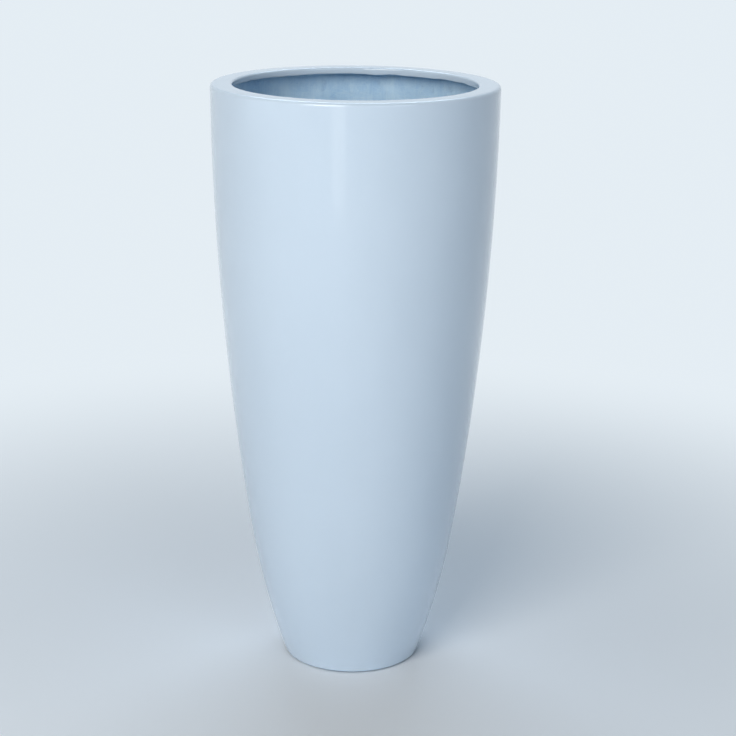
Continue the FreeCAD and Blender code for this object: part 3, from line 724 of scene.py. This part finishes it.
@dataclass
class Shell:
    """The turned shell: two tangent arcs, a broad lip with a trimmed return, a turned-in foot."""

    paints: Paints
    height: float = 0.800
    rim_radius: float = 0.190
    base_radius: float = 0.094
    wall: float = 0.005
    long_arc_rise: float = 0.018
    change_height: float = 0.193
    foot_flare: float = 0.0474
    lip_width: float = 0.029
    lip_thickness: float = 0.0045
    lip_return: float = 0.009
    outer_round: float = 0.005
    inner_round: float = 0.003
    foot_width: float = 0.034
    foot_thickness: float = 0.005
    foot_round: float = 0.002
    foot_height: float = 0.002
    skin: float = 0.00008       # the faceted outside is drawn this far within the sizes above
    lip_dip: float = 0.0001     # the flat of the lip dips this much between its rounds
    under_round: float = 0.0015     # between the return's back and the lip's underside
    shoulder_round: float = 0.004   # between the lip's underside and the wall
    heel_round: float = 0.006   # between the foot and the wall, inside
    blunt: float = 0.001        # blunt inner edge of the foot
    trim_blunt: float = 0.0012  # blunt edges of the return's end
    trim_from: float = 0.0062   # depth below the lip from which the return's end wanders
    trim_wave: float = 0.0026   # how far the return's end wanders up and down
    trim_length: float = 0.028
    lumps: float = 0.0012       # height of the lumps of the laid-up inside
    lump_length: float = 0.035
    inside_low: float = 0.020   # the lumpy inside starts at this height ...
    inside_high: float = 0.012  # ... and ends this far below the lip's top
    facing: float = 0.3         # how squarely a sprayed face looks out or up
    near: float = 0.0004        # tolerance by which vertices and faces are picked
    steps: int = 256
    outer_steps: tuple[int, int] = (30, 18)
    inner_steps: tuple[int, int] = (44, 20)

    def __post_init__(self) -> None:
        """Works out the long arc, and the lower one tangent to it where the curve changes."""
        self.mouth = self.rim_radius - self.lip_width
        change = Vector((self.base_radius + self.foot_flare, self.change_height))
        self.long_arc_height = self.height + self.long_arc_rise
        drop = self.long_arc_height - self.change_height
        across = (self.rim_radius ** 2 + self.long_arc_rise ** 2 - change.x ** 2 - drop ** 2) / 2.0
        self.long_centre = Vector((across / (self.rim_radius - change.x), self.long_arc_height))
        self.long_arc = math.hypot(self.rim_radius - self.long_centre.x, self.long_arc_rise)
        inward = (self.long_centre - change).normalized()
        chord = change - Vector((self.base_radius, self.foot_height))
        self.low_arc = -chord.length_squared / (2.0 * inward.dot(chord))
        self.low_centre = change + inward * self.low_arc

    def _on_long(self, height: float, inset: float) -> Point:
        """Point of the long arc at a height, inset from the wall's outside."""
        reach = math.sqrt((self.long_arc - inset) ** 2 - (height - self.long_arc_height) ** 2)
        return self.long_centre[0] + reach, height

    def _on_low(self, height: float, inset: float) -> Point:
        """Point of the lower arc at a height, inset from the wall's outside."""
        reach = math.sqrt((self.low_arc - inset) ** 2 - (height - self.low_centre[1]) ** 2)
        return self.low_centre[0] + reach, height

    def wall_line(self, low: float, high: float, inset: float, upper_steps: int,
                  lower_steps: int) -> list[Point]:
        """One side of the wall from its foot up to its top.

        Args:
            low: height of its lower end.
            high: height of its upper end.
            inset: how far inside the wall's outside.
            upper_steps: divisions of the long arc.
            lower_steps: divisions of the lower arc.

        Returns:
            The points.
        """
        change = self.change_height
        below = [low + (change - low) * step / lower_steps for step in range(lower_steps)]
        above = [change + (high - change) * step / upper_steps for step in range(upper_steps + 1)]
        return [self._on_low(z, inset) for z in below] + [self._on_long(z, inset) for z in above]

    def profile(self) -> list[Point]:
        """The whole section, once round.

        Returns:
            The points, from the foot's outer edge up the outside.
        """
        top, foot = self.height, self.foot_height
        under, end = top - self.lip_thickness, top - self.lip_return
        back = self.mouth + self.lip_thickness
        floor = foot + self.foot_thickness
        inner_edge = self.base_radius - self.foot_width
        shoulder, heel, corner = self.shoulder_round, self.heel_round, self.under_round
        outer, inner, sole = self.outer_round, self.inner_round, self.foot_round
        blunt, trim = self.blunt, self.trim_blunt
        made = arc((self._on_low(foot + sole, self.skin)[0] - sole, foot + sole), sole, -90.0, -15.0, 5)
        made += self.wall_line(foot + 2.0 * sole, top - outer, self.skin, *self.outer_steps)
        rim = self._on_long(top - outer, self.skin)[0] - outer
        made += arc((rim, top - outer), outer, 9.0, 90.0, 9)
        made += [(rim - 2.0 * outer, top - self.skin), (self.mouth + 3.0 * inner, top - self.lip_dip)]
        made += arc((self.mouth + inner, top - inner), inner, 90.0, 180.0, 8)
        made += [(self.mouth, top - self.trim_from + blunt), (self.mouth, end + trim)]
        made += [(self.mouth + trim / 3.0, end + trim / 4.0), (self.mouth + trim, end)]
        made += [(back - trim, end), (back - trim / 4.0, end + trim / 3.0), (back, end + 1.3 * blunt)]
        made += arc((back + corner, under - corner), corner, 180.0, 90.0, 4)
        wall = self._on_long(under - shoulder, self.wall)[0]
        made += [((back + wall) / 2.0, under)]
        made += arc((wall - shoulder, under - shoulder), shoulder, 90.0, 5.0, 5)
        made += reversed(self.wall_line(floor + heel, under - 1.5 * shoulder, self.wall, *self.inner_steps))
        wall = self._on_low(floor + heel, self.wall)[0]
        made += arc((wall - heel, floor + heel), heel, -20.0, -90.0, 4)
        made += [(inner_edge + blunt, floor), (inner_edge, floor - blunt), (inner_edge, foot + blunt)]
        made += [(inner_edge + blunt, foot)]
        return made

    def is_gelcoat(self, centre: Vector, normal: Vector) -> bool:
        """Whether a face is the sprayed side: outside, lip, and the face of the return.

        Args:
            centre: the face's centre.
            normal: its normal.

        Returns:
            True on the sprayed side.
        """
        reach = math.hypot(centre.x, centre.y)
        outward = (centre.x * normal.x + centre.y * normal.y) / reach
        end = self.height - self.lip_return + self.near / 2.0
        if centre.z > end and reach < self.mouth + self.trim_blunt / 2.0:
            return True
        outside = outward > self.facing and reach > self.base_radius - 2.0 * self.foot_round
        return outside or normal.z > self.facing and centre.z > self.height - 2.0 * self.outer_round

    def trim_weight(self, place: Vector) -> float:
        """How far a vertex follows the uneven trimmed edge of the return.

        Args:
            place: the vertex's place.

        Returns:
            1 at the edge, 0 above it.
        """
        reach = math.hypot(place.x, place.y)
        depth = self.height - place.z
        if reach > self.mouth + self.lip_thickness + self.near or depth > 2.0 * self.lip_return:
            return 0.0
        return max(0.0, min(1.0, (depth - self.trim_from) / (self.lip_return - self.trim_from)))

    def lump_weight(self, place: Vector) -> float:
        """How far a vertex follows the lumpy inside.

        Args:
            place: the vertex's place.

        Returns:
            1 on the inner wall, 0 elsewhere.
        """
        if not self.inside_low < place.z < self.height - self.inside_high:
            return 0.0
        on_arc = self._on_long if place.z > self.change_height else self._on_low
        off = math.hypot(place.x, place.y) - on_arc(place.z, self.wall)[0]
        return 1.0 if abs(off) < 2.0 * self.near else 0.0

    def build(self) -> bpy.types.Object:
        """Turns, dresses and roughens the shell.

        Returns:
            The object.
        """
        made = turn_profile("planter_shell", self.profile(), self.steps)
        self.paints.dress(made, Finish.GELCOAT, Finish.LAMINATE)
        set_faces(made, 1, lambda centre, normal: not self.is_gelcoat(centre, normal))
        ruffle(made, "trim", self.trim_weight, self.trim_length, self.trim_wave, "Z")
        ruffle(made, "lumps", self.lump_weight, self.lump_length, self.lumps, "NORMAL")
        apply_modifiers(made)
        smooth(made)
        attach(made, "planter")
        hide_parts("shell")
        return made


# ---------------------------------------------------------------- foot and drain

@dataclass
class FootPads:
    """Round rubber pads under the turned-in foot."""

    paints: Paints
    count: int = 4
    radius: float = 0.011
    thickness: float = 0.002
    edge: float = 0.0005
    reach: float = 0.075
    steps: int = 48

    def build(self) -> list[bpy.types.Object]:
        """Builds every pad.

        Returns:
            The pads.
        """
        profile = [(0.0, 0.0)] + arc((self.radius - self.edge, self.edge), self.edge, -90.0, 0.0, 3)
        profile += arc((self.radius - self.edge, self.thickness - self.edge), self.edge, 0.0, 90.0, 3)
        profile += [(0.0, self.thickness)]
        made = []
        for number in range(1, self.count + 1):
            angle = math.tau * (number - 0.5) / self.count
            centre = Vector((math.cos(angle), math.sin(angle), 0.0)) * self.reach
            pad = turn_profile("pad_%d" % number, profile, self.steps, centre=centre, closed=False)
            made.append(finish_piece(pad, self.paints, Finish.PAD_RUBBER, "planter",
                                     "foot_pad_%d" % number))
        return made


@dataclass
class Bung:
    """Rubber stopper: rounded flange, ribbed stem, and an eyed tab to pull it by."""

    paints: Paints
    flange_radius: float = 0.020
    flange_foot: float = 0.016
    flange_thickness: float = 0.004
    flange_round: float = 0.0014
    flange_dish: float = 0.0003
    stem_radius: float = 0.01242
    stem_end: float = 0.006
    stem_taper: float = 0.0016
    rib: float = 0.0007
    ribs: int = 3
    tab_width: float = 0.020
    tab_thickness: float = 0.005
    tab_height: float = 0.015
    tab_hole: float = 0.008
    tab_root: float = 0.0012
    tab_flare: float = 0.0018   # radius of the hollows at its foot
    tab_sink: float = 0.0011    # the tab's foot lies this far inside the flange
    soft_edge: float = 0.0008
    steps: int = 72

    def build(self) -> bpy.types.Object:
        """Turns the stopper, draws the tab and joins both."""
        made = join_shells([self._stopper(), self._tab()])
        return finish_piece(made, self.paints, Finish.BUNG_RUBBER, "bung", "drain_bung")

    def _stopper(self) -> bpy.types.Object:
        """Flange and stem, with shallow grooves between the stem's ribs."""
        foot, top, edge = self.flange_foot, self.flange_foot + self.flange_thickness, self.flange_round
        pitch = (foot - self.stem_end) / (self.ribs + 1)
        profile = [(0.0, self.stem_end), (self.stem_radius - self.stem_taper, self.stem_end)]
        for number in range(self.ribs):
            level = self.stem_end + pitch * (number + 0.6)
            profile += [(self.stem_radius, level), (self.stem_radius, level + pitch * 0.45),
                        (self.stem_radius - self.rib, level + pitch * 0.6)]
        profile += [(self.stem_radius - self.rib, foot)]
        low_edge, dished = edge * 0.4, top - self.flange_dish
        profile += arc((self.flange_radius - low_edge, foot + low_edge), low_edge, -90.0, 0.0, 3)
        profile += arc((self.flange_radius - edge, top - edge), edge, 0.0, 90.0, 5)
        profile += [(self.flange_radius * 0.62, dished), (0.0, dished)]
        return turn_profile("bung", profile, self.steps, closed=False)

    def _tab(self) -> bpy.types.Object:
        """Upright tab with a round head and a hole, its edges rounded."""
        half, top = self.tab_width / 2.0, self.flange_foot + self.flange_thickness
        crown = top + self.tab_height - half
        outline = arc((0.0, crown), half, 0.0, 180.0, 24)
        flare, seat = self.tab_flare, top - self.tab_sink
        outline += arc((-half - flare, seat + flare), flare, 0.0, -90.0, 5)
        outline += [(-half - flare, seat - self.tab_root), (half + flare, seat - self.tab_root)]
        outline += arc((half + flare, seat + flare), flare, -90.0, -180.0, 5)
        hole = arc((0.0, crown), self.tab_hole / 2.0, 0.0, 360.0, 32)[:-1]
        face = -self.tab_thickness / 2.0
        made = start_mesh("bung_tab")
        walk([Vector((x, face, z)) for x, z in outline], True)
        bpy.ops.object.mode_set(mode="OBJECT")
        eye = start_mesh("bung_eye")
        walk([Vector((x, face, z)) for x, z in hole], True)
        bpy.ops.object.mode_set(mode="OBJECT")
        join_shells([made, eye])
        bpy.ops.object.mode_set(mode="EDIT")
        bpy.ops.mesh.select_all(action="SELECT")
        bpy.ops.mesh.bridge_edge_loops()
        bpy.ops.mesh.select_all(action="SELECT")
        extrude_by(Vector((0.0, self.tab_thickness, 0.0)))
        tidy_mesh()
        round_edges(made, self.soft_edge, 3)
        return made


# ---------------------------------------------------------------- planting insert

@dataclass
class InsertWall:
    """Sheet wall of the insert with its top edge rolled round a wire."""

    paints: Paints
    radius: float = 0.151
    sheet: float = 0.0012
    foot: float = 0.4312
    top: float = 0.730
    wire: float = 0.0046
    slack: float = 0.00012
    roll: float = 255.0         # degrees that the edge is rolled through
    steps: int = 192

    def profile(self) -> list[Point]:
        """The section, once round: up the inside, over and round the wire, back, and down the outside.

        Returns:
            The points.
        """
        inner = self.wire / 2.0 + self.slack
        outer = inner + self.sheet
        centre = (self.radius + outer, self.top - outer)
        end = 180.0 - self.roll
        upright = [self.foot + (centre[1] - self.foot) * share for share in (0.0, 0.25, 0.5, 0.75)]
        made = [(self.radius, level) for level in upright]
        made += arc(centre, outer, 180.0, end, 20)
        made += arc(centre, inner, end, 180.0, 16)
        made += [(self.radius + self.sheet, level) for level in reversed(upright)]
        return made

    def build(self) -> bpy.types.Object:
        """Turns the wall."""
        made = turn_profile("insert_sheet_wall", self.profile(), self.steps)
        return finish_piece(made, self.paints, Finish.GALVANISED, "insert", "insert_wall")


@dataclass
class BeadWire:
    """Round wire inside the insert's rolled edge."""

    paints: Paints
    reach: float = 0.15462
    height: float = 0.72638
    wire: float = 0.0046
    steps: int = 192
    sides: int = 14

    def build(self) -> bpy.types.Object:
        """Turns the wire's ring.

        Returns:
            The object.
        """
        section = arc((self.reach, self.height), self.wire / 2.0, 0.0, 360.0, self.sides)[:-1]
        made = turn_profile("bead_wire_ring", section, self.steps)
        return finish_piece(made, self.paints, Finish.WIRE, "insert", "insert_bead_wire")


@dataclass
class BracketRivets:
    """Two domed rivets through a bracket's plate and the insert's wall."""

    paints: Paints
    number: int
    spacing: float = 0.014
    height: float = 0.710
    plate: float = 0.14834      # the plate's inner face
    tail_seat: float = 0.1528
    head_radius: float = 0.0045
    head_height: float = 0.002
    head_skirt: float = 0.0003  # upright edge of the head
    shank_radius: float = 0.0025
    tail_radius: float = 0.0036
    steps: int = 28

    def profile(self) -> list[Point]:
        """Half section of a rivet, from the crown of its head to the end of its tail.

        Returns:
            (distance from its axis, distance from the planter's axis) of each point.
        """
        head, skirt = self.head_height, self.head_skirt
        made = [(0.0, self.plate - head)]
        for part in range(1, 7):
            angle = math.radians(90.0 - 15.0 * part)
            made.append((self.head_radius * math.cos(angle),
                         self.plate - skirt - (head - skirt) * math.sin(angle)))
        tail, seat = self.tail_radius, self.tail_seat
        made += [(self.head_radius, self.plate), (self.shank_radius, self.plate), (self.shank_radius, seat)]
        made += [(tail, seat), (tail, seat + head * 0.55), (tail * 0.8, seat + head * 0.9)]
        made += [(tail * 0.45, seat + head), (0.0, seat + head)]
        return made

    def build(self) -> bpy.types.Object:
        """Turns both rivets and joins them.

        Returns:
            The object.
        """
        outward = Vector((1.0 if self.number == 1 else -1.0, 0.0, 0.0))
        pair = []
        for side in (1.0, -1.0):
            centre = Vector((0.0, side * self.spacing / 2.0, self.height))
            pair.append(turn_profile("rivets_%d" % self.number, self.profile(), self.steps, centre, outward,
                                     across=Vector((0.0, 0.0, 1.0)), closed=False))
        return finish_piece(join_shells(pair), self.paints, Finish.RIVET, "insert",
                            "bracket_rivets_%d" % self.number)


@dataclass
class WireHandle:
    """Closed loop of round wire: a straight side in the bracket's eye, the grip hanging below it."""

    paints: Paints
    number: int
    body: str
    reach: float = 0.14064
    height: float = 0.696
    wire: float = 0.005
    width: float = 0.090
    drop: float = 0.048
    top_bend: float = 0.009
    grip_bend: float = 0.019
    sides: int = 20
    bend_steps: int = 12

    def build(self) -> bpy.types.Object:
        """Draws the wire once round its loop.

        Returns:
            The object.
        """
        side = self.reach if self.number == 1 else -self.reach
        half, high, low = self.width / 2.0, self.height, self.height - self.drop
        top, grip = self.top_bend, self.grip_bend
        across, up = Vector((0.0, 1.0, 0.0)), Vector((0.0, 0.0, 1.0))
        # way and length of each straight, and (y, z) of the centre of the bend after it
        runs = ((across, half - top, (half - top, high - top)),
                (-up, self.drop - top - grip, (half - grip, low + grip)),
                (-across, 2.0 * (half - grip), (grip - half, low + grip)),
                (up, self.drop - top - grip, (top - half, high - top)))
        made = start_ring("wire_handle_%d" % self.number, Vector((side, 0.0, high)), self.wire / 2.0,
                          self.sides)
        for way, length, (y, z) in runs:
            extrude_by(way * length)
            bpy.ops.mesh.spin(steps=self.bend_steps, angle=math.pi / 2.0, center=(side, y, z),
                              axis=(1.0, 0.0, 0.0))
        extrude_by(across * (half - top))
        tidy_mesh(10.0 * SAME)
        return finish_piece(made, self.paints, Finish.WIRE, self.body, "handle_%d" % self.number)


# ---------------------------------------------------------------- studio

@dataclass(frozen=True)
class SoftBox:
    """One soft box aimed at the planter."""

    name: str
    azimuth: float      # degrees round from the camera's side, right positive
    elevation: float    # degrees above the horizon
    distance: float
    width: float
    height: float
    power: float
    tint: tuple[float, float, float]


WARM = (1.03, 1.0, 0.95)
COOL = (0.84, 1.0, 1.17)
SOFT_BOXES = (
    SoftBox("key", -26.0, 32.0, 3.4, 1.7, 1.7, 60.0, WARM),
    SoftBox("side", -78.0, 12.0, 3.2, 1.6, 1.8, 4.0, COOL),
    SoftBox("fill", 28.0, 24.0, 3.6, 1.8, 1.4, 14.0, COOL),
    SoftBox("strip", -13.5, 4.0, 2.0, 0.34, 0.9, 0.95, WARM),
    SoftBox("back", 178.0, 52.0, 3.2, 2.4, 1.2, 38.0, COOL),
)


@dataclass
class Studio:
    """Pale floor, soft lights and the camera at the photograph's viewpoint."""

    paints: Paints
    eye: Vector = field(default_factory=lambda: Vector((-0.0552, -2.3581, 1.1090)))
    aim: Vector = field(default_factory=lambda: Vector((0.0, 0.0, 0.45)))
    pitch: float = 16.4639
    yaw: float = 1.8239
    roll: float = 0.5874
    focal_pixels: float = 1800.08
    picture_pixels: float = 736.0
    sensor: float = 36.0
    floor_reach: float = 30.0
    sky: Colour = (0.90, 0.96, 1.0, 1.0)
    sky_strength: float = 0.09

    def build(self) -> None:
        """Makes everything that is not part of the planter."""
        self._floor()
        self._sky()
        for box in SOFT_BOXES:
            self._soft_box(box)
        self._camera()

    def _floor(self) -> None:
        """A wide, flat, round floor."""
        made = turn_profile("studio_floor", [(0.0, 0.0), (0.6, 0.0), (2.0, 0.0), (self.floor_reach, 0.0)], 64,
                            closed=False)
        for face in made.data.polygons:
            if face.normal.z < 0.0:
                face.flip()
        self.paints.dress(made, Finish.FLOOR)

    def _sky(self) -> None:
        """Even soft light from all round; the camera and the gloss see the pale backdrop in its place."""
        world = bpy.data.worlds.new("studio")
        bpy.context.scene.world = world
        tree = Tree(world)
        light, backdrop = (
            tree.node("ShaderNodeBackground", None, {"Color": colour, "Strength": strength}).outputs[0]
            for colour, strength in ((self.sky, self.sky_strength), (Finish.FLOOR.value.backdrop, 1.0)))
        tree.close(tree.mix_shaders(tree.seen(), light, backdrop), "ShaderNodeOutputWorld")

    def _soft_box(self, box: SoftBox) -> None:
        """One area light aimed at the planter.

        Args:
            box: the soft box.
        """
        data = bpy.data.lights.new(box.name, "AREA")
        data.shape = "RECTANGLE"
        data.size = box.width
        data.size_y = box.height
        data.energy = box.power
        data.color = box.tint
        made = bpy.data.objects.new(box.name, data)
        bpy.context.scene.collection.objects.link(made)
        round_by, up_by = math.radians(box.azimuth), math.radians(box.elevation)
        level = Vector((math.sin(round_by), -math.cos(round_by), 0.0))
        away = level * math.cos(up_by) + Vector((0.0, 0.0, math.sin(up_by)))
        made.location = self.aim + away * box.distance
        made.rotation_euler = (-away).to_track_quat("-Z", "Y").to_euler()

    def _camera(self) -> None:
        """The camera at the photograph's viewpoint."""
        data = bpy.data.cameras.new("viewpoint")
        data.sensor_width = self.sensor
        data.lens = self.focal_pixels * self.sensor / self.picture_pixels
        data.clip_end = 60.0
        made = bpy.data.objects.new("viewpoint", data)
        bpy.context.scene.collection.objects.link(made)
        pitch, yaw, roll = (math.radians(angle) for angle in (self.pitch, self.yaw, self.roll))
        ahead = Vector((math.sin(yaw) * math.cos(pitch), math.cos(yaw) * math.cos(pitch), -math.sin(pitch)))
        level = Vector((math.cos(yaw), -math.sin(yaw), 0.0))
        upright = level.cross(ahead)
        right = level * math.cos(roll) + upright * math.sin(roll)
        up = upright * math.cos(roll) - level * math.sin(roll)
        turn = Matrix((right, up, -ahead)).transposed().to_4x4()
        made.matrix_world = Matrix.Translation(self.eye) @ turn
        bpy.context.scene.camera = made


# ---------------------------------------------------------------- everything together

CAD_FINISHES: dict[str, Finish] = {
    "shell": Finish.GELCOAT,
    "foot_pad": Finish.PAD_RUBBER,
    "base_plate": Finish.LAMINATE,
    "drain_bung": Finish.BUNG_RUBBER,
    "ledge": Finish.LAMINATE,
    "insert": Finish.GALVANISED,
    "insert_bead_wire": Finish.WIRE,
    "handle_bracket": Finish.GALVANISED,
    "bracket_rivets": Finish.RIVET,
    "handle": Finish.WIRE,
}


def finish_of(node: str) -> Finish:
    """The finish of a CAD node, by the longest name that starts it."""
    matches = [name for name in CAD_FINISHES if node.startswith(name)]
    return CAD_FINISHES[max(matches, key=len)]


def dress_frame(frame: dict[str, Any], paints: Paints) -> None:
    """Gives every CAD node of the loaded frame its finish."""
    for name, thing in frame["nodes"].items():
        paints.dress(thing, finish_of(name))


def main() -> None:
    """Loads the frame, builds each piece in order and finishes the scene."""
    logging.basicConfig(level=logging.INFO, format="%(name)s: %(message)s")
    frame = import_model()
    paints = Paints()
    dress_frame(frame, paints)
    log.info("dressed %d nodes", len(frame["nodes"]))
    pieces = [Shell(paints).build(), *FootPads(paints).build(), Bung(paints).build(),
              InsertWall(paints).build(), BeadWire(paints).build()]
    for number, body in ((1, "first_handle"), (2, "second_handle")):
        pieces += [BracketRivets(paints, number).build(), WireHandle(paints, number, body).build()]
    for piece in pieces:
        log.info("%s: %d faces", piece.name, len(piece.data.polygons))
    Studio(paints).build()
    bpy.context.scene.view_settings.view_transform = "Standard"


if __name__ == "__main__":
    main()
